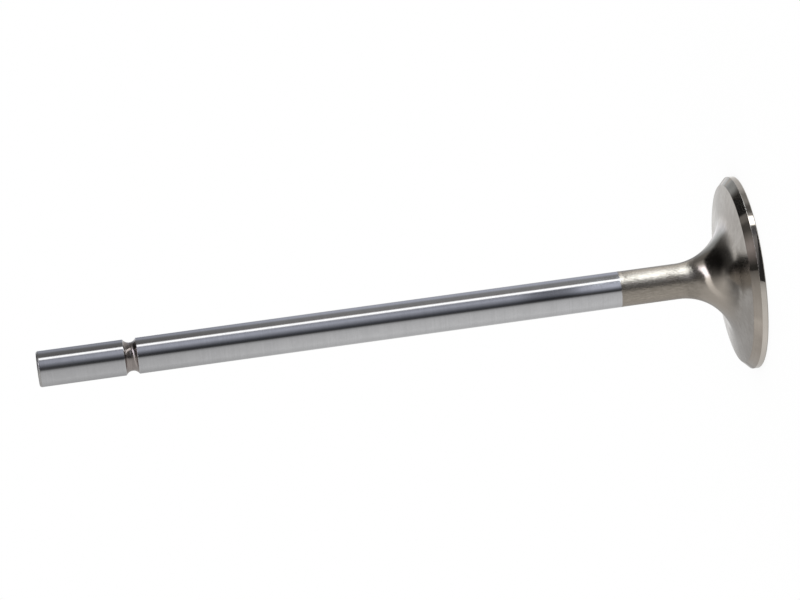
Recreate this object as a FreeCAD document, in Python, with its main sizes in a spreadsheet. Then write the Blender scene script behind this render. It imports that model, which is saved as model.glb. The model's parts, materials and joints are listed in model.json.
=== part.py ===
# Engine poppet valve, one piece of forged and turned steel, in millimetres.
# It stands on its head: the combustion face is on the XY plane and the axis runs up +Z to the stem tip.

import FreeCAD, Part
import math
import os
import Sketcher

document = FreeCAD.newDocument("EngineValve")


# Driving dimensions. Heights are over the combustion face unless the name says otherwise.

DIMENSIONS = {
    "overall_length": 138.0,
    "stem_diameter": 6.97,  # ground to run in a 7 mm guide
    "tip_radius": 0.5,
    "groove_from_tip": 17.9,  # to the middle of the groove
    "groove_bottom_diameter": 5.48,
    "groove_radius": 1.43,
    "groove_lip_radius": 0.12,
    "ground_stem_start": 25.0,  # height at which the neck's turned finish ends
    "grinding_runout": 0.6,
    "neck_diameter": 6.92,
    "tulip_radius": 10.4,
    "back_angle": 8.6,  # slope of the head's back, in degrees from the face
    "head_diameter": 37.6,
    "seat_angle": 45.0,  # in degrees from the face
    "seat_width": 1.97,  # along the slope
    "margin_thickness": 1.15,
    "face_edge_break": 0.15,
}

sizes = document.addObject("Spreadsheet::Sheet", "Sizes")
for row, (name, value) in enumerate(DIMENSIONS.items(), start=1):
    sizes.set(f"A{row}", name)
    sizes.set(f"B{row}", str(value))
    sizes.setAlias(f"B{row}", name)
document.recompute()


def size(name):
    """One driving dimension, as the spreadsheet holds it."""
    return float(getattr(sizes, name))


# The valve's body. Its sketches are on the XZ plane: across is the radius and up is the height.

FULL_TURN = 360.0
START, END, CENTRE = 1, 2, 3
ORIGIN_POINT = (-1, 1)
TOWARDS_READER = FreeCAD.Vector(0, 0, 1)
TOWARDS_AXIS = math.pi
STRAIGHT_DOWN = 3 * math.pi / 2
SAME_EDGE = 0.001

valve = document.addObject("PartDesign::Body", "engine_valve")
valve.Label = "engine_valve"


def half_section(name):
    """An empty sketch on the body's XZ plane."""
    sketch = valve.newObject("Sketcher::SketchObject", name)
    planes = [plane for plane in valve.Origin.OriginFeatures if plane.Role == "XZ_Plane"]
    sketch.AttachmentSupport = [(planes[0], "")]
    sketch.MapMode = "FlatFace"
    sketch.Visibility = False
    return sketch


def at(across, up):
    """A point of a sketch, by its radius and its height."""
    return FreeCAD.Vector(across, up, 0)


def bind(sketch, name, kind, geometry, value, expression):
    """Add a dimension to a sketch under a name, and tie it to the spreadsheet."""
    index = sketch.addConstraint(Sketcher.Constraint(kind, *geometry, value))
    sketch.renameConstraint(index, name)
    sketch.setExpression(f"Constraints.{name}", expression)


def rims(shape, radius, height):
    """Names of the circular edges of this radius round the axis, at this height."""
    names = []
    for number, edge in enumerate(shape.Edges, start=1):
        curve = edge.Curve
        if not isinstance(curve, Part.Circle):
            continue
        miss = max(abs(curve.Radius - radius), abs(curve.Center.z - height))
        if miss < SAME_EDGE:
            names.append(f"Edge{number}")
    return names


# Blank: half of the valve's section, from the face round the head and up the stem to the tip.
# The back of the head is a shallow cone that runs into the neck through one arc, tangent to both.

stem_radius = size("stem_diameter") / 2
neck_radius = size("neck_diameter") / 2
head_radius = size("head_diameter") / 2
seat_slope = math.radians(size("seat_angle"))
back_slope = math.radians(size("back_angle"))
seat_inner_radius = head_radius - size("seat_width") * math.cos(seat_slope)
seat_top = size("margin_thickness") + size("seat_width") * math.sin(seat_slope)
tulip_centre_radius = neck_radius + size("tulip_radius")
tulip_outer_radius = tulip_centre_radius - size("tulip_radius") * math.sin(back_slope)
tulip_bottom = seat_top + (seat_inner_radius - tulip_outer_radius) * math.tan(back_slope)
tulip_top = tulip_bottom + size("tulip_radius") * math.cos(back_slope)
ground_stem_foot = size("ground_stem_start") + size("grinding_runout")

axis_foot = at(0, 0)
face_rim = at(head_radius, 0)
margin_top = at(head_radius, size("margin_thickness"))
seat_inner = at(seat_inner_radius, seat_top)
tulip_foot = at(tulip_outer_radius, tulip_bottom)
tulip_centre = at(tulip_centre_radius, tulip_top)
tulip_head = at(neck_radius, tulip_top)
neck_top = at(neck_radius, size("ground_stem_start"))
stem_foot = at(stem_radius, ground_stem_foot)
tip_rim = at(stem_radius, size("overall_length"))
axis_top = at(0, size("overall_length"))

blank_section = half_section("BlankSection")
tulip_circle = Part.Circle(tulip_centre, TOWARDS_READER, size("tulip_radius"))
face = blank_section.addGeometry(Part.LineSegment(axis_foot, face_rim))
margin = blank_section.addGeometry(Part.LineSegment(face_rim, margin_top))
seat = blank_section.addGeometry(Part.LineSegment(margin_top, seat_inner))
back = blank_section.addGeometry(Part.LineSegment(seat_inner, tulip_foot))
tulip = blank_section.addGeometry(Part.ArcOfCircle(tulip_circle, TOWARDS_AXIS, STRAIGHT_DOWN - back_slope))
neck = blank_section.addGeometry(Part.LineSegment(tulip_head, neck_top))
runout = blank_section.addGeometry(Part.LineSegment(neck_top, stem_foot))
stem = blank_section.addGeometry(Part.LineSegment(stem_foot, tip_rim))
tip = blank_section.addGeometry(Part.LineSegment(tip_rim, axis_top))
axis = blank_section.addGeometry(Part.LineSegment(axis_top, axis_foot))

for line, next_line in ((face, margin), (margin, seat), (seat, back), (neck, runout), (runout, stem)):
    blank_section.addConstraint(Sketcher.Constraint("Coincident", line, END, next_line, START))
for line, next_line in ((stem, tip), (tip, axis), (axis, face)):
    blank_section.addConstraint(Sketcher.Constraint("Coincident", line, END, next_line, START))
blank_section.addConstraint(Sketcher.Constraint("Coincident", face, START, *ORIGIN_POINT))
blank_section.addConstraint(Sketcher.Constraint("Tangent", back, END, tulip, END))
blank_section.addConstraint(Sketcher.Constraint("Tangent", tulip, START, neck, START))
for level_line in (face, tip):
    blank_section.addConstraint(Sketcher.Constraint("Horizontal", level_line))
for upright_line in (margin, neck, stem, axis):
    blank_section.addConstraint(Sketcher.Constraint("Vertical", upright_line))

to_face_rim = (*ORIGIN_POINT, face, END)
to_neck_top = (*ORIGIN_POINT, neck, END)
to_tip_rim = (*ORIGIN_POINT, stem, END)
up_the_margin = (margin, START, margin, END)
up_the_runout = (runout, START, runout, END)
seat_turn = math.pi - seat_slope
back_turn = math.pi - back_slope

bind(blank_section, "head_radius", "DistanceX", to_face_rim, head_radius, "Sizes.head_diameter / 2")
bind(blank_section, "margin", "DistanceY", up_the_margin, margin_top.y, "Sizes.margin_thickness")
bind(blank_section, "seat_width", "Distance", (seat,), size("seat_width"), "Sizes.seat_width")
bind(blank_section, "seat_angle", "Angle", (seat,), seat_turn, "180 deg - Sizes.seat_angle * 1 deg")
bind(blank_section, "back_angle", "Angle", (back,), back_turn, "180 deg - Sizes.back_angle * 1 deg")
bind(blank_section, "tulip_radius", "Radius", (tulip,), size("tulip_radius"), "Sizes.tulip_radius")
bind(blank_section, "neck_radius", "DistanceX", to_neck_top, neck_radius, "Sizes.neck_diameter / 2")
bind(blank_section, "neck_top", "DistanceY", to_neck_top, neck_top.y, "Sizes.ground_stem_start")
bind(blank_section, "runout", "DistanceY", up_the_runout, size("grinding_runout"), "Sizes.grinding_runout")
bind(blank_section, "stem_radius", "DistanceX", to_tip_rim, stem_radius, "Sizes.stem_diameter / 2")
bind(blank_section, "overall_length", "DistanceY", to_tip_rim, tip_rim.y, "Sizes.overall_length")

blank = valve.newObject("PartDesign::Revolution", "Blank")
blank.Profile = blank_section
blank.ReferenceAxis = (blank_section, ["V_Axis"])
blank.Angle = FULL_TURN
document.recompute()
blank_volume = blank.Shape.Volume


# Keeper groove: one round groove for the keepers' bead. The circle that cuts it is centred outside the stem.

groove_centre_radius = size("groove_bottom_diameter") / 2 + size("groove_radius")
groove_height = size("overall_length") - size("groove_from_tip")
groove_centre = at(groove_centre_radius, groove_height)

groove_section = half_section("KeeperGrooveSection")
bead = groove_section.addGeometry(Part.Circle(groove_centre, TOWARDS_READER, size("groove_radius")))
to_bead = (*ORIGIN_POINT, bead, CENTRE)
across_to_bead = "Sizes.groove_bottom_diameter / 2 + Sizes.groove_radius"
up_to_bead = "Sizes.overall_length - Sizes.groove_from_tip"
bind(groove_section, "bead_radius", "Radius", (bead,), size("groove_radius"), "Sizes.groove_radius")
bind(groove_section, "across", "DistanceX", to_bead, groove_centre_radius, across_to_bead)
bind(groove_section, "height", "DistanceY", to_bead, groove_height, up_to_bead)

keeper_groove = valve.newObject("PartDesign::Groove", "KeeperGroove")
keeper_groove.Profile = groove_section
keeper_groove.ReferenceAxis = (groove_section, ["V_Axis"])
keeper_groove.Angle = FULL_TURN
document.recompute()
if keeper_groove.Shape.Volume >= blank_volume:
    raise RuntimeError("the keeper groove cuts nothing")


# Edges: the groove's lips and the tip are rounded, and the face's rim has a small chamfer.

lip_reach = math.sqrt(size("groove_radius") ** 2 - (groove_centre_radius - stem_radius) ** 2)
lower_lip = rims(keeper_groove.Shape, stem_radius, groove_height - lip_reach)
upper_lip = rims(keeper_groove.Shape, stem_radius, groove_height + lip_reach)

groove_lips = valve.newObject("PartDesign::Fillet", "GrooveLips")
groove_lips.Base = (keeper_groove, lower_lip + upper_lip)
groove_lips.setExpression("Radius", "Sizes.groove_lip_radius")
document.recompute()

tip_round = valve.newObject("PartDesign::Fillet", "TipRound")
tip_round.Base = (groove_lips, rims(groove_lips.Shape, stem_radius, size("overall_length")))
tip_round.setExpression("Radius", "Sizes.tip_radius")
document.recompute()

face_break = valve.newObject("PartDesign::Chamfer", "FaceBreak")
face_break.Base = (tip_round, rims(tip_round.Shape, head_radius, 0))
face_break.setExpression("Size", "Sizes.face_edge_break")
valve.Tip = face_break
document.recompute()


# Check every object, then write the valve.

for item in document.Objects:
    if {"Invalid", "Error"} & set(item.State):
        raise RuntimeError(f"{item.Label} has failed: {item.State}")
for section in (blank_section, groove_section):
    if not section.FullyConstrained:
        raise RuntimeError(f"{section.Label} is not fully constrained")
if valve.Shape.isNull() or not valve.Shape.isValid():
    raise RuntimeError("the valve's shape is null or not valid")
if len(valve.Shape.Solids) != 1:
    raise RuntimeError("the valve is not one solid")

os.makedirs("parts", exist_ok=True)
valve.Shape.exportStep(f"parts/{valve.Label}.step")
print(f"{valve.Label}: {valve.Shape.Volume:.1f} cubic mm, {len(valve.Shape.Faces)} faces")
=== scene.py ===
# Engine valve standing on its head. Sizes are millimetres until a mesh is filled, in metres.
import bpy
import json
import numpy as np
from mathutils import Euler, Matrix, Vector


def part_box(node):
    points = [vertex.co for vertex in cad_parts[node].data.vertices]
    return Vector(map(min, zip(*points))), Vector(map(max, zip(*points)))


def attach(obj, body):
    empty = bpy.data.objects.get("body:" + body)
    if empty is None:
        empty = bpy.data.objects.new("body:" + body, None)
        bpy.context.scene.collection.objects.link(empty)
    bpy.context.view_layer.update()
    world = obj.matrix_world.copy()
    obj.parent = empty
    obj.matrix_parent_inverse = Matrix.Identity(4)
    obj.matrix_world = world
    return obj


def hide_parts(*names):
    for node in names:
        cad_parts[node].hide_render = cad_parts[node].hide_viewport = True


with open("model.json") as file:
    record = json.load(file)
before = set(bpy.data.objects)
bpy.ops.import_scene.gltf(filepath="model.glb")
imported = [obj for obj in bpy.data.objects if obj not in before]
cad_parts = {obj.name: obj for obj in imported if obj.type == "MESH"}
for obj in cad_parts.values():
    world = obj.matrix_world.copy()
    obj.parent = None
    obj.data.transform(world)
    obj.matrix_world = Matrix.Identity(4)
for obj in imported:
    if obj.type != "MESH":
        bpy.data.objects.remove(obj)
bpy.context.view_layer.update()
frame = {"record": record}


# The valve's form
# One forging of heat-resisting steel, turned all over: face, margin, seat, back, tulip, neck, stem and
# tip are a single half section carried once round the axis, as on the lathe. The grinding of the stem
# runs out just below the edge of its plating.

MM = 0.001
TURN_STEPS = 256
EDGE_HOLD = 0.02

_, node_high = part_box("engine_valve")
head_radius = node_high[0] / MM
length = node_high[2] / MM
mounts = {mount["name"]: mount for mount in frame["record"]["mounts"]}
stem_radius = mounts["stem"]["dims"]["r_mm"]
groove_height = mounts["keeper_groove"]["pos_m"][2] / MM

face_break = 0.15
margin_thickness = 1.15
seat_width = 1.97
seat_slope = np.radians(45)
back_slope = np.radians(8.6)
tulip_radius = 10.4
neck_radius = 3.46
plating_start = 25.0
runout_below_plating = 0.1
grinding_runout = 0.6
groove_radius = 1.43
groove_bottom = 2.74
groove_lip = 0.12
tip_round = 0.5
rim_round = 0.04
seat_round = 0.06
runout_round = 5.0


def straight(start, end):
    """A straight stretch from start to end, with a point held close to each end, so that the shading stays
    flat between them."""
    start, end = np.array(start), np.array(end)
    hold = min(EDGE_HOLD / np.linalg.norm(end - start), 0.2)
    share = np.array([0, hold, 0.5, 1 - hold, 1])
    return start + share[:, None] * (end - start)


def arc(centre, radius, start, end, steps):
    """An arc about centre: radius times the cosine and sine of angles spaced evenly from start to end."""
    angle = np.linspace(start, end, steps + 1)
    return np.array(centre) + radius * np.stack([np.cos(angle), np.sin(angle)], axis=1)


def eased_corner(before, corner, after, radius, steps):
    """The arc of this radius that touches both sides of a corner: it starts and ends at the radius times
    the tangent of half the turn from the corner, and its centre is square to the side it comes in on."""
    before, corner, after = (np.array(point, float) for point in (before, corner, after))
    way_in = (corner - before) / np.linalg.norm(corner - before)
    way_out = (after - corner) / np.linalg.norm(after - corner)
    turn = np.arctan2(way_in[0] * way_out[1] - way_in[1] * way_out[0], way_in @ way_out)
    start = corner - way_in * radius * np.tan(abs(turn) / 2)
    towards_centre = np.array([-way_in[1], way_in[0]]) * np.sign(turn)
    centre = start + towards_centre * radius
    first = np.arctan2(*(start - centre)[::-1])
    return arc(centre, radius, first, first + turn, steps)


def corner_line(corners):
    """Straights and eased corners through a list of (point, radius, steps), first and last left sharp: a
    straight and a bend for each corner in turn, and the last straight."""
    places = [np.array(point, float) for point, _, _ in corners]
    pieces = []
    last = places[0]
    for index in range(1, len(corners) - 1):
        _, radius, steps = corners[index]
        bend = eased_corner(places[index - 1], places[index], places[index + 1], radius, steps)
        pieces.append(straight(last, bend[0]))
        pieces.append(bend)
        last = bend[-1]
    pieces.append(straight(last, places[-1]))
    return pieces


seat_inner = (
    head_radius - seat_width * np.cos(seat_slope),
    margin_thickness + seat_width * np.sin(seat_slope),
)
back_top = seat_inner[1] + (seat_inner[0] - neck_radius) * np.tan(back_slope)
runout_top = plating_start - runout_below_plating
runout_foot = runout_top - grinding_runout
bead_centre = (groove_bottom + groove_radius, groove_height)
lip_centre_radius = stem_radius - groove_lip
lip_reach = np.sqrt((groove_radius + groove_lip) ** 2 - (bead_centre[0] - lip_centre_radius) ** 2)
lip_turn = np.arctan2(lip_reach, bead_centre[0] - lip_centre_radius)

head_to_groove = corner_line([
    ((0, 0), 0, 0),
    ((head_radius - face_break, 0), rim_round, 3),
    ((head_radius, face_break), rim_round, 3),
    ((head_radius, margin_thickness), rim_round, 4),
    (seat_inner, seat_round, 4),
    ((neck_radius, back_top), tulip_radius, 72),
    ((neck_radius, runout_foot), runout_round, 3),
    ((stem_radius, runout_top), runout_round, 3),
    ((stem_radius, groove_height - lip_reach), 0, 0),
])
lower_lip = arc((lip_centre_radius, groove_height - lip_reach), groove_lip, 0, lip_turn, 6)
groove = arc(bead_centre, groove_radius, np.pi + lip_turn, np.pi - lip_turn, 40)
upper_lip = arc((lip_centre_radius, groove_height + lip_reach), groove_lip, -lip_turn, 0, 6)
upper_stem, tip_ease, tip_piece = corner_line([
    ((stem_radius, groove_height + lip_reach), 0, 0),
    ((stem_radius, length), tip_round, 10),
    ((0, length), 0, 0),
])

# Each finish and the stretches that have it, from the middle of the face to the middle of the tip. The face
# has two straights and two bends, the margin and the seat a straight and a bend each.
sections = [
    ("combustion_face", head_to_groove[:4]),
    ("margin", head_to_groove[4:6]),
    ("seat", head_to_groove[6:8]),
    ("skin", [*head_to_groove[8:], lower_lip]),
    ("keeper_groove", [groove]),
    ("skin", [upper_lip, upper_stem]),
    ("tip", [tip_ease, tip_piece]),
]
finish_names = ["combustion_face", "margin", "seat", "skin", "keeper_groove", "tip"]


def half_section(sections):
    """All stretches end to end, with the finish of each stretch between two points and no point twice."""
    points = [sections[0][1][0][0]]
    finishes = []
    for finish, pieces in sections:
        for piece in pieces:
            for point in piece[1:]:
                if np.linalg.norm(point - points[-1]) > 1e-6:
                    points.append(point)
                    finishes.append(finish_names.index(finish))
    return np.array(points), np.array(finishes)


def revolved(name, points, finishes, steps):
    """The half section carried round Z: x is the radius times the cosine and y the radius times the sine
    of steps even angles. The first and last points lie on the axis and close the ends as fans."""
    angle = np.arange(steps) * 2 * np.pi / steps
    rings = points[1:-1]
    across = rings[:, 0, None]
    grid = np.stack([
        across * np.cos(angle),
        across * np.sin(angle),
        np.broadcast_to(rings[:, 1, None], (len(rings), steps)),
    ], axis=-1)
    ends = np.array([[0, 0, points[0, 1]], [0, 0, points[-1, 1]]])
    corners = np.concatenate([grid.reshape(-1, 3), ends]) * MM
    row = np.arange(len(rings) - 1)[:, None] * steps
    here, there = np.arange(steps), (np.arange(steps) + 1) % steps
    quads = np.stack([row + here, row + there, row + steps + there, row + steps + here], axis=-1)
    low_end, high_end = len(rings) * steps, len(rings) * steps + 1
    last_row = (len(rings) - 1) * steps
    low_fan = np.stack([np.full(steps, low_end), there, here], axis=-1)
    high_fan = np.stack([last_row + here, last_row + there, np.full(steps, high_end)], axis=-1)
    mesh = bpy.data.meshes.new(name)
    faces = quads.reshape(-1, 4).tolist() + low_fan.tolist() + high_fan.tolist()
    mesh.from_pydata(corners.tolist(), [], faces)
    slots = np.concatenate([
        np.repeat(finishes[1:-1], steps),
        np.full(steps, finishes[0]),
        np.full(steps, finishes[-1]),
    ])
    mesh.polygons.foreach_set("material_index", slots.astype(np.int32))
    mesh.shade_smooth()
    return mesh


valve_mesh = revolved("poppet_valve", *half_section(sections), TURN_STEPS)
valve = bpy.data.objects.new("poppet_valve", valve_mesh)
bpy.context.collection.objects.link(valve)
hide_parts("engine_valve")
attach(valve, "root")


# Finishes of the steel
# Bare metal, marked by the tool that made each face: the turned and ground faces carry rings round the
# axis, the neck and tulip were polished lengthwise, and the stem is ground and plated with hard chrome.


class Signal:
    """A shader socket that sums, products and powers can be written with."""

    def __init__(self, graph, socket):
        self.graph = graph
        self.socket = socket

    def maths(self, operation, *others):
        return self.graph.node("ShaderNodeMath", {"operation": operation}, [self, *others])

    def __add__(self, other):
        return self.maths("ADD", other)

    __radd__ = __add__

    def __sub__(self, other):
        return self.maths("SUBTRACT", other)

    def __rsub__(self, other):
        return self.graph.node("ShaderNodeMath", {"operation": "SUBTRACT"}, [other, self])

    def __mul__(self, other):
        return self.maths("MULTIPLY", other)

    __rmul__ = __mul__

    def __truediv__(self, other):
        return self.maths("DIVIDE", other)

    def __pow__(self, other):
        return self.maths("POWER", other)

    def step(self, low, high):
        """0 below low, 1 above high, and an S-shaped rise between them."""
        settings = {"interpolation_type": "SMOOTHSTEP", "clamp": True}
        sockets = {"Value": self, "From Min": low, "From Max": high}
        return self.graph.node("ShaderNodeMapRange", settings, sockets)


class Graph:
    """A node tree with one way to add a node: its type, its settings, and the values or links of its
    sockets, by name or number."""

    def __init__(self, tree):
        self.tree = tree
        tree.nodes.clear()

    def node(self, kind, settings=None, inputs=(), output=0):
        made = self.tree.nodes.new(kind)
        for name, value in (settings or {}).items():
            if name == "stops":
                self.set_stops(made.color_ramp, value)
            else:
                setattr(made, name, value)
        pairs = inputs.items() if isinstance(inputs, dict) else enumerate(inputs)
        for name, value in pairs:
            if isinstance(value, Signal):
                self.tree.links.new(value.socket, made.inputs[name])
            else:
                made.inputs[name].default_value = value
        return Signal(self, made.outputs[output]) if made.outputs else None

    @staticmethod
    def set_stops(ramp, stops):
        """Stops are (place, colour) in rising order; the ramp's own two are used for the first and last."""
        (first, first_colour), *inner, (last, last_colour) = stops
        ramp.elements[0].position, ramp.elements[0].color = first, (*first_colour, 1)
        ramp.elements[-1].position, ramp.elements[-1].color = last, (*last_colour, 1)
        for place, colour in inner:
            ramp.elements.new(place).color = (*colour, 1)

    def mix(self, share, low, high):
        """A colour between low and high. A Mix node set to colours has its share at socket 0, its two
        colours at 6 and 7, and its result at output 2."""
        low, high = (end if isinstance(end, Signal) else (*end, 1) for end in (low, high))
        return self.node("ShaderNodeMix", {"data_type": "RGBA"}, {0: share, 6: low, 7: high}, 2)


class Finish(Graph):
    """The node tree of one finish, with what its marks follow, in millimetres: the height above the face,
    the distance from the axis, and height less distance, which rises along the whole half section."""

    def __init__(self, name):
        self.material = bpy.data.materials.new(name)
        self.material.use_nodes = True
        super().__init__(self.material.node_tree)
        self.place = self.node("ShaderNodeTexCoord", output="Object")
        parts = self.node("ShaderNodeSeparateXYZ", inputs=[self.place]).socket.node
        self.x, self.y, self.height = (Signal(self, parts.outputs[axis]) / MM for axis in "XYZ")
        self.radius = (self.x * self.x + self.y * self.y) ** 0.5
        self.along = self.height - self.radius

    def rings(self, pitch, detail=3):
        """Noise that changes only along the half section: the marks of a tool that ran round the axis."""
        sockets = {"W": self.along / pitch, "Scale": 1, "Detail": detail}
        return self.node("ShaderNodeTexNoise", {"noise_dimensions": "1D"}, sockets)

    def streaks(self, count, run, detail=3):
        """Noise drawn out along the half section and closed round the axis: marks of lengthwise polish."""
        turn = self.node("ShaderNodeCombineXYZ", {}, [
            self.x / self.radius * count,
            self.y / self.radius * count,
            self.along / run,
        ])
        sockets = {"Vector": turn, "Scale": 1, "Detail": detail, "Roughness": 0.6}
        return self.node("ShaderNodeTexNoise", {}, sockets)

    def clouds(self, size, detail=3):
        """Soft noise in patches of about this size."""
        sockets = {"Vector": self.place, "Scale": 1 / (size * MM), "Detail": detail}
        return self.node("ShaderNodeTexNoise", {}, sockets)

    def bumps(self, height, depth):
        sockets = {"Strength": 1.0, "Distance": depth * MM, "Height": height}
        return self.node("ShaderNodeBump", {}, sockets)

    def metal(self, colour, roughness, normal, grain, grain_turn):
        """Grain is how far the roughness differs with direction. Its turn is RINGS or LENGTHWISE."""
        return self.node("ShaderNodeBsdfPrincipled", {}, {
            "Base Color": colour,
            "Metallic": 1.0,
            "Roughness": roughness,
            "Anisotropic": grain,
            "Anisotropic Rotation": grain_turn,
            "Normal": normal,
        })

    def finished(self, shader):
        self.node("ShaderNodeOutputMaterial", {}, [shader])
        return self.material


RINGS = 0.25
LENGTHWISE = 0.0


def ringed(name, colour, dull_colour, roughness, uneven, pitch, depth, grain):
    """A face that was turned or ground round the axis. Uneven is how far its roughness varies, pitch is that
    of its finest marks and depth that of all its marks, both in millimetres."""
    finish = Finish(name)
    marks = finish.rings(pitch) * 0.6 + finish.rings(pitch * 8, 2) * 0.4
    patches = finish.clouds(2.5)
    tone = finish.mix(patches.step(0.35, 0.7) * 0.5 + marks.step(0.35, 0.65) * 0.5, colour, dull_colour)
    rough = roughness + (marks - 0.5) * uneven + (patches - 0.5) * (uneven * 0.5)
    return finish.finished(finish.metal(tone, rough, finish.bumps(marks, depth), grain, RINGS))


BACK_COLOUR, BACK_DULL = (0.48, 0.45, 0.415), (0.40, 0.37, 0.335)
NECK_COLOUR, NECK_DULL = (0.44, 0.395, 0.345), (0.345, 0.31, 0.265)
CHROME, CHROME_DULL = (0.63, 0.63, 0.64), (0.59, 0.59, 0.60)

# Where one finish gives way to the next, as distances from the axis and heights above the face.
TULIP_SMOOTHS = (3.55, 4.8)
NECK_MARKS_FADE = (3.6, 5)
BACK_BEGINS = (6.5, 10.5)
STEM_ROUGHENS = (25.5, 30)
PLATING_EDGE = (runout_top, plating_start + 0.15)
PLATING_EDGE_WANDER = 0.3


def valve_skin():
    """The back, tulip, neck and stem, which run into one another: the turned back gives way to the
    lengthwise polish over a few millimetres, and the chrome ends in a slightly uneven line."""
    skin = Finish("valve_skin")
    fine_rings, broad_rings = skin.rings(0.35), skin.rings(2.6, 2)
    fine_streaks, broad_streaks = skin.streaks(16, 2.2), skin.streaks(5, 5.0)
    clouds, patches = skin.clouds(1.1), skin.clouds(4.0, 2)

    marks = fine_rings * 0.5 + broad_rings * 0.5
    stains = marks * 0.2 + patches * 0.4 + fine_streaks * 0.4
    back = skin.metal(
        skin.mix(stains.step(0.38, 0.58), BACK_COLOUR, BACK_DULL),
        0.19 + (marks - 0.5) * 0.06 + (stains - 0.5) * 0.2,
        skin.bumps(marks, 0.003),
        0.55, RINGS)

    polish = fine_streaks * 0.45 + broad_streaks * 0.3 + clouds * 0.25
    off_neck = skin.radius.step(*NECK_MARKS_FADE)
    waves = skin.streaks(8, 1.4, 2) * (1 - off_neck * 0.7)
    grain = skin.streaks(13, 0.8) * (1 - off_neck * 0.8)
    neck = skin.metal(
        skin.mix((polish * 0.5 + grain * 0.5).step(0.3, 0.62), NECK_COLOUR, NECK_DULL),
        0.24 - skin.radius.step(*TULIP_SMOOTHS) * 0.10 + (polish - 0.5) * 0.14,
        skin.bumps(waves * 0.6 + polish * 0.15 + grain * 1.1, 0.03),
        0.78, LENGTHWISE)

    grinding = fine_rings * 0.3 + broad_rings * 0.3 + clouds * 0.4
    stem = skin.metal(
        skin.mix(grinding.step(0.35, 0.65), CHROME, CHROME_DULL),
        0.05 + skin.height.step(*STEM_ROUGHENS) * 0.08 + (grinding - 0.5) * 0.06,
        skin.bumps(grinding, 0.0002),
        0.5, RINGS)

    bare = skin.node("ShaderNodeMixShader", {}, [skin.radius.step(*BACK_BEGINS), neck, back])
    plated = (skin.height + (clouds - 0.5) * PLATING_EDGE_WANDER).step(*PLATING_EDGE)
    return skin.finished(skin.node("ShaderNodeMixShader", {}, [plated, bare, stem]))


finishes = {
    "combustion_face": ringed(
        "turned_face", (0.46, 0.42, 0.37), (0.40, 0.365, 0.32),
        roughness=0.34, uneven=0.10, pitch=0.25, depth=0.004, grain=0.7),
    "margin": ringed(
        "ground_margin", (0.68, 0.63, 0.57), (0.64, 0.59, 0.53),
        roughness=0.09, uneven=0.03, pitch=0.2, depth=0.0003, grain=0.3),
    "seat": ringed(
        "ground_seat", (0.45, 0.405, 0.355), (0.38, 0.335, 0.29),
        roughness=0.12, uneven=0.05, pitch=0.1, depth=0.0005, grain=0.6),
    "skin": valve_skin(),
    "keeper_groove": ringed(
        "turned_groove", (0.39, 0.35, 0.33), (0.31, 0.275, 0.26),
        roughness=0.22, uneven=0.05, pitch=0.3, depth=0.0002, grain=0.3),
    "tip": ringed(
        "ground_tip", (0.50, 0.49, 0.48), (0.44, 0.43, 0.42),
        roughness=0.30, uneven=0.06, pitch=0.2, depth=0.001, grain=0.3),
}
for name in finish_names:
    valve.data.materials.append(finishes[name])


# Studio paper
# White paper lies under and behind the valve and keeps its faint shadow. The metal doesn't mirror the
# paper itself, but the table side of the tent that follows.


def stage_object(name, mesh, material):
    made = bpy.data.objects.new(name, mesh)
    bpy.context.collection.objects.link(made)
    mesh.materials.append(material)
    return made


WHITE = (1, 1, 1, 1)
PLAIN_WHITE_SHARE = 0.85
PAPER_HALF = 6000.0


def paper():
    """White paper under the room's light, mixed with plain white for the eye and for what mirrors it, so
    that only the valve's faint shadow is darker."""
    material = bpy.data.materials.new("white_paper")
    material.use_nodes = True
    graph = Graph(material.node_tree)
    light_path = graph.node("ShaderNodeLightPath").socket.node
    rays = ("Is Camera Ray", "Is Glossy Ray", "Is Transmission Ray")
    camera_ray, glossy_ray, transmission_ray = (Signal(graph, light_path.outputs[ray]) for ray in rays)
    lit = graph.node("ShaderNodeBsdfDiffuse", {}, {"Color": WHITE})
    white = graph.node("ShaderNodeEmission", {}, {"Color": WHITE, "Strength": 1.0})
    share = (camera_ray + glossy_ray + transmission_ray) * PLAIN_WHITE_SHARE
    graph.node("ShaderNodeOutputMaterial", {}, [graph.node("ShaderNodeMixShader", {}, [share, lit, white])])
    return material


paper_corners = np.array([(-1, -1, 0), (1, -1, 0), (1, 1, 0), (-1, 1, 0)]) * PAPER_HALF * MM
paper_mesh = bpy.data.meshes.new("paper_floor")
paper_mesh.from_pydata(paper_corners.tolist(), [], [(0, 1, 2, 3)])
paper_floor = stage_object("paper_floor", paper_mesh, paper())
paper_floor.visible_glossy = False

world = bpy.data.worlds.new("white_room")
bpy.context.scene.world = world
world.use_nodes = True
room = Graph(world.node_tree)
backdrop = room.node("ShaderNodeBackground", {}, {"Color": WHITE, "Strength": 1.0})
room.node("ShaderNodeOutputWorld", {}, [backdrop])


# Studio tent
# The metal mirrors a round tent of cards about it: a pale table side, a dark camera side, a strip light
# along the stem and a second one that leans over the head. Only the metal sees the tent. Its levels were
# listed and adjusted to agree with readings of the reflections in the photograph.

TENT_RADIUS = 3000.0
NEUTRAL = (1.0, 1.0, 1.0)
COOL = (0.95, 0.985, 1.13)
AQUA = (0.92, 1.0, 1.07)
WARM = (1.05, 1.0, 0.96)
PEARL = (0.98, 1.0, 1.07)
PINK = (1.04, 0.99, 1.03)
ROSE = (0.98, 0.98, 1.10)


def stop(azimuth, level, tint=NEUTRAL):
    """A ramp stop at an azimuth from -180 to 180 degrees: 0 faces the camera and 90 is +X. A level of 1 is
    as bright as the paper."""
    return (azimuth + 180) / 360, tuple(level * part for part in tint)


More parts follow.
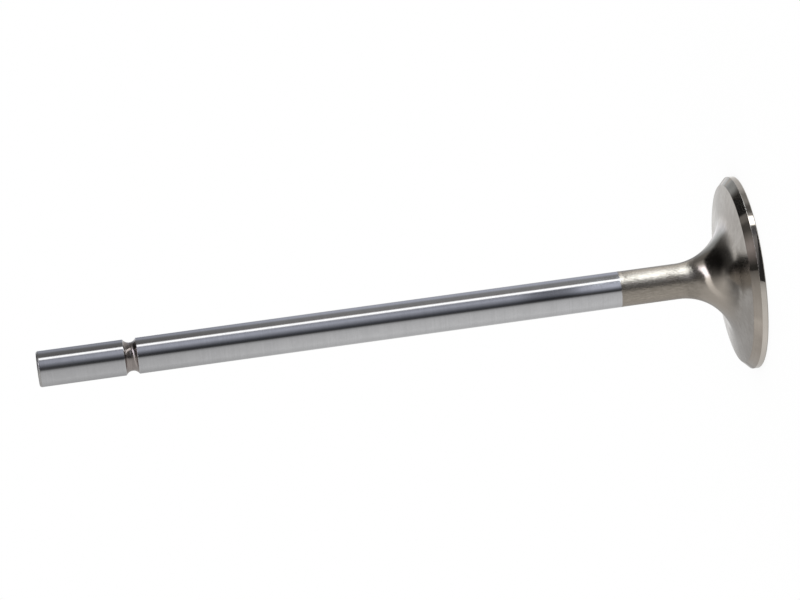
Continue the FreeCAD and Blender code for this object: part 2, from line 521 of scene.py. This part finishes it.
# The lowest row, which the margin mirrors.
FLOOR_CARDS = [
    stop(-180, 0.50),
    stop(-165, 0.58),
    stop(-138, 0.60),
    stop(-90, 0.73),
    stop(-45, 0.66),
    stop(-28, 0.60),
    stop(-17, 0.42),
    stop(-8, 0.04),
    stop(12, 0.10),
    stop(28, 0.13, WARM),
    stop(34, 0.16, WARM),
    stop(40, 0.14, WARM),
    stop(45, 0.03),
    stop(55, 0.03),
    stop(56, 3.0),
    stop(67, 3.0),
    stop(68, 0.08),
    stop(82, 0.06),
    stop(91, 0.28),
    stop(104, 0.21),
    stop(116, 0.48),
    stop(138, 0.55),
    stop(152, 0.66),
    stop(166, 0.96),
    stop(180, 1.04),
]
# Just under the level, which the neck and most of the stem mirror.
LOW_CARDS = [
    stop(-180, 1.2),
    stop(-176, 0.88),
    stop(-172, 0.60),
    stop(-155, 0.64),
    stop(-138, 0.59),
    stop(-90, 0.73),
    stop(-45, 0.66),
    stop(-28, 0.60),
    stop(-20, 0.50),
    stop(-15.5, 0.36),
    stop(-9.5, 0.07),
    stop(-4, 0.055, COOL),
    stop(4, 0.085, COOL),
    stop(36, 0.51, COOL),
    stop(48, 0.40, COOL),
    stop(76, 0.26, WARM),
    stop(90, 0.28),
    stop(104, 0.28),
    stop(125, 0.54, COOL),
    stop(155, 0.46, COOL),
    stop(168, 0.46),
    stop(176, 0.80),
    stop(180, 1.1),
]
# About the level, which the tip and the top of the stem mirror.
LEVEL_CARDS = [
    stop(-180, 1.0),
    stop(-176, 0.68),
    stop(-172, 0.42),
    stop(-138, 0.455),
    stop(-114, 0.53),
    stop(-90, 0.61),
    stop(-54, 0.56),
    stop(-28, 0.50),
    stop(-20, 0.41),
    stop(-15.5, 0.30),
    stop(-9.5, 0.03),
    stop(-4, 0.02, COOL),
    stop(4, 0.05, COOL),
    stop(18, 0.28, COOL),
    stop(30, 0.55, COOL),
    stop(44, 0.58, COOL),
    stop(54, 0.40, COOL),
    stop(74, 0.12, WARM),
    stop(104, 0.17),
    stop(126, 0.41, COOL),
    stop(140, 0.33, COOL),
    stop(155, 0.28, COOL),
    stop(164, 0.9),
    stop(171, 1.5, PEARL),
    stop(175, 0.80),
    stop(180, 1.0),
]
# Above the level, in three rows that the tulip, the seat and the back of the head mirror.
MIDDLE_CARDS = [
    stop(-180, 0.68),
    stop(-177, 0.50),
    stop(-172, 0.47),
    stop(-160, 0.56),
    stop(-140, 0.64),
    stop(-110, 0.64),
    stop(-50, 0.58),
    stop(-28, 0.56),
    stop(-12, 0.23),
    stop(5, 0.12),
    stop(30, 0.08),
    stop(60, 0.05),
    stop(80, 0.15),
    stop(100, 0.18),
    stop(125, 0.24),
    stop(134, 0.32, AQUA),
    stop(139, 0.50, AQUA),
    stop(147, 0.46, AQUA),
    stop(153, 0.64, AQUA),
    stop(160, 0.95, AQUA),
    stop(166, 1.10, PEARL),
    stop(171, 1.00),
    stop(174, 0.74),
    stop(180, 0.70),
]
HIGH_CARDS = [
    stop(-180, 0.55),
    stop(-150, 0.56),
    stop(-125, 0.66),
    stop(-60, 0.64),
    stop(-35, 0.46),
    stop(-14, 0.19),
    stop(8, 0.12),
    stop(35, 0.05),
    stop(90, 0.01),
    stop(128, 0.02),
    stop(136, 0.07),
    stop(150, 0.12),
    stop(160, 0.34),
    stop(169, 0.76),
    stop(180, 0.96),
]
TOP_CARDS = [
    stop(-180, 0.07),
    stop(-170, 0.12),
    stop(-150, 0.34),
    stop(-130, 0.50),
    stop(-90, 0.68),
    stop(-50, 0.52),
    stop(-30, 0.38),
    stop(-10, 0.25),
    stop(10, 0.11),
    stop(30, 0.07),
    stop(50, 0.03),
    stop(70, 0.01),
    stop(110, 0.008),
    stop(150, 0.05),
    stop(180, 0.08),
]
LEANING_STRIP = [
    stop(-180, 0.16),
    stop(-145, 0.50),
    stop(-100, 0.85),
    stop(-60, 0.95),
    stop(-30, 1.2),
    stop(-5, 1.6),
    stop(8, 2.6, ROSE),
    stop(20, 3.1, ROSE),
    stop(52, 3.1, ROSE),
    stop(60, 2.0, ROSE),
    stop(70, 0.9),
    stop(82, 0.5),
    stop(94, 0.38),
]

# Each row of cards over the low one, with the elevations between which it takes over from the row below.
ROWS_UPWARDS = [
    (LEVEL_CARDS, -2.6, 1.8),
    (MIDDLE_CARDS, 2, 9),
    (HIGH_CARDS, 27, 35),
    (TOP_CARDS, 45, 54),
]
OVERHEAD_CARD = (0.29, 0.29, 0.29)
OVERHEAD_BEGINS = (76, 92)
FLOOR_ENDS = (-11, -10.6)

STRIP_LIGHT = (1.8, 1.8, 1.8)
STRIP_AZIMUTH = 64.5
STRIP_EDGE = (2, 12)
STRIP_TOP = (9, 12)

LEAN_ELEVATION = 50
LEAN_START, LEAN_SPAN, LEAN_DROP = -10, 60, 0.0036
LEAN_STRAIGHT_START, LEAN_FALL = 50, 0.28
LEAN_WIDTH = 1.4
LEAN_NARROWS, NARROWER_BY = (-20, 30), 0.25
LEAN_WIDENS, WIDER_BY = (20, 56), 0.45
LEAN_EDGE = (3, 6.5)
LEAN_END = (88, 104)


class Cloth(Graph):
    """The node tree of a cloth that only glows, by its azimuth and elevation in degrees from the valve."""

    def __init__(self, name):
        self.material = bpy.data.materials.new(name)
        self.material.use_nodes = True
        super().__init__(self.material.node_tree)
        place = self.node("ShaderNodeTexCoord", output="Object")
        parts = self.node("ShaderNodeSeparateXYZ", inputs=[place]).socket.node
        x, y, z = (Signal(self, parts.outputs[axis]) for axis in "XYZ")
        self.azimuth = x.maths("ARCTAN2", y * -1) * (180 / np.pi)
        self.elevation = z.maths("ARCTAN2", (x * x + y * y) ** 0.5) * (180 / np.pi)
        self.height = z / MM

    def row(self, stops):
        return self.node("ShaderNodeValToRGB", {"stops": stops}, [(self.azimuth + 180) / 360])

    def glowing(self, colour):
        self.node("ShaderNodeOutputMaterial", {}, [self.node("ShaderNodeEmission", {}, [colour])])
        return self.material


def tent_cloth():
    """The tent's brightness by direction from the valve: rows of cards one above the other, the strip that
    leans and the upright one. The leaning strip's middle line is level as far as its start. From there it
    falls with the square of the azimuth over its span, and past its straight start it falls evenly too.
    Its width multiplies the degrees at which its edge fades."""
    tent = Cloth("tent_cloth")
    azimuth, elevation = tent.azimuth, tent.elevation
    cards = tent.row(LOW_CARDS)
    for stops, begins, full in ROWS_UPWARDS:
        cards = tent.mix(elevation.step(begins, full), cards, tent.row(stops))
    cards = tent.mix(elevation.step(*OVERHEAD_BEGINS), cards, OVERHEAD_CARD)

    curved = (azimuth - LEAN_START).maths("MAXIMUM", 0).maths("MINIMUM", LEAN_SPAN)
    even = (azimuth - LEAN_STRAIGHT_START).maths("MAXIMUM", 0)
    middle_line = LEAN_ELEVATION - curved ** 2 * LEAN_DROP - even * LEAN_FALL
    width = LEAN_WIDTH - azimuth.step(*LEAN_NARROWS) * NARROWER_BY + azimuth.step(*LEAN_WIDENS) * WIDER_BY
    off_line = (elevation - middle_line).maths("ABSOLUTE") / width
    band = (1 - off_line.step(*LEAN_EDGE)) * (1 - azimuth.step(*LEAN_END))
    cards = tent.mix(band, cards, tent.row(LEANING_STRIP))

    off_strip = (azimuth - STRIP_AZIMUTH).maths("ABSOLUTE")
    strip = (1 - off_strip.step(*STRIP_EDGE)) * (1 - elevation.step(*STRIP_TOP))
    cards = tent.mix(strip, cards, STRIP_LIGHT)
    return tent.glowing(tent.mix(1 - elevation.step(*FLOOR_ENDS), cards, tent.row(FLOOR_CARDS)))


def tent_mesh():
    """A ball: the tent's radius times the cosine and sine of the elevation, carried round Z."""
    section = arc((0, 0), TENT_RADIUS, -np.pi / 2, np.pi / 2, 64)
    section[[0, -1], 0] = 0
    return revolved("tent", section, np.zeros(len(section) - 1, int), 96)


def only_mirrored(card):
    """A card of the tent shows in the metal and casts neither light nor shadow on the paper."""
    card.visible_camera = False
    card.visible_diffuse = False
    card.visible_transmission = False
    card.visible_volume_scatter = False
    card.visible_shadow = False


only_mirrored(stage_object("tent", tent_mesh(), tent_cloth()))


# Studio cards near the head
# Small bent cards, close enough that a highlight or a shadow begins or ends at a certain height on the
# valve. Each edge is given by its distance from the axis and its height.

NECK_LIGHT = [
    stop(40.5, 0.5, AQUA),
    stop(46.5, 4.3, AQUA),
    stop(72, 3.9, AQUA),
    stop(82, 2.2, AQUA),
    stop(100, 1.4),
    stop(120, 0.84),
    stop(140, 0.60),
]
STEM_FOOT_CARD = [
    stop(-4, 0.06),
    stop(4, 0.14, COOL),
    stop(10, 0.30, COOL),
    stop(24, 0.64, COOL),
    stop(38, 0.66, COOL),
    stop(50, 0.44, COOL),
]
SEAT_LIGHT = [
    stop(0, 0.03),
    stop(6, 0.06),
    stop(14, 0.28, PINK),
    stop(20, 0.44, PINK),
    stop(26, 0.43, PINK),
    stop(33, 0.25),
    stop(39, 0.11),
    stop(46, 0.11),
    stop(49, 0.25),
    stop(56, 0.25),
    stop(58, 0.03),
]
BLACK = (0.025, 0.025, 0.026, 1)
FOOT_SHADE_RISE = (24.4, 26)
FOOT_SHADE = 0.7


def card_mesh(name, azimuths, one_edge, other_edge):
    """A card bent round the axis between two edges, each a (distance, height): x is the distance times the
    sine of the azimuth, y is minus the distance times its cosine, and z is the height. A distance or a
    height is one number, or an array that runs along the edge."""
    turn = np.radians(azimuths)
    edges = []
    for distance, height in (one_edge, other_edge):
        height = np.broadcast_to(height, turn.shape)
        edges.append(np.stack([distance * np.sin(turn), -distance * np.cos(turn), height], axis=-1))
    here = np.arange(len(turn) - 1)
    quads = np.stack([here, here + 1, here + 1 + len(turn), here + len(turn)], axis=-1)
    mesh = bpy.data.meshes.new(name)
    mesh.from_pydata((np.concatenate(edges) * MM).tolist(), [], quads.tolist())
    return mesh


tulip_turn = np.linspace(42, 88, 24)
tulip_light_top = 17.6 - 0.09 * (tulip_turn - tulip_turn[0])
neck_cards = [
    card_mesh("neck_light", np.linspace(40, 92, 27), (76, -2), (76, 12.8)),
    card_mesh("side_light", np.linspace(88, 140, 27), (60, 1), (60, 14.9)),
    card_mesh("tulip_light", tulip_turn, (30, 9.5), (30, tulip_light_top)),
]
neck_cloth = Cloth("neck_light_cloth")
neck_material = neck_cloth.glowing(neck_cloth.row(NECK_LIGHT))
for mesh in neck_cards:
    only_mirrored(stage_object(mesh.name, mesh, neck_material))

foot_card = card_mesh("stem_foot_card", np.linspace(-4, 50, 28), (60, 16), (60, 36))
foot_cloth = Cloth("stem_foot_cloth")
foot_shade = foot_cloth.height.step(*FOOT_SHADE_RISE) * FOOT_SHADE
foot_colour = foot_cloth.mix(foot_shade, foot_cloth.row(STEM_FOOT_CARD), (0, 0, 0))
only_mirrored(stage_object("stem_foot_card", foot_card, foot_cloth.glowing(foot_colour)))

seat_light = card_mesh("seat_light", np.linspace(0, 58, 30), (17.4, 12), (23.5, 12))
seat_cloth = Cloth("seat_light_cloth")
only_mirrored(stage_object("seat_light", seat_light, seat_cloth.glowing(seat_cloth.row(SEAT_LIGHT))))

wedge_turn = np.linspace(-7.7, 27, 36)
wedge_outside = 24.9 - 0.16 * (wedge_turn - wedge_turn[0])
black_wedge = card_mesh("black_wedge", wedge_turn, (18.9, 0.03), (wedge_outside, 0.03))
only_mirrored(stage_object("black_wedge", black_wedge, Cloth("black_card").glowing(BLACK)))


# Camera
# A long lens a little over the floor, turned on its side so that the stem lies across the picture.

CAMERA_PLACE = (0.0, -622.84, 125.15)
LOOKS_DOWN = 5.289
LOOKS_ASIDE = -0.342
ROLL = -97.81

camera = bpy.data.objects.new("camera", bpy.data.cameras.new("camera"))
bpy.context.collection.objects.link(camera)
camera.data.sensor_width = 36.0
camera.data.lens = 146.2
camera.data.clip_start = 0.01
camera.data.clip_end = 20.0
camera.location = Vector(CAMERA_PLACE) * MM
aim = Euler((np.radians(90 - LOOKS_DOWN), 0, np.radians(LOOKS_ASIDE))).to_matrix()
roll = Matrix.Rotation(np.radians(ROLL), 3, "Z")
camera.matrix_world = Matrix.Translation(camera.location) @ (aim @ roll).to_4x4()
bpy.context.scene.camera = camera
bpy.context.scene.view_settings.view_transform = "Standard"
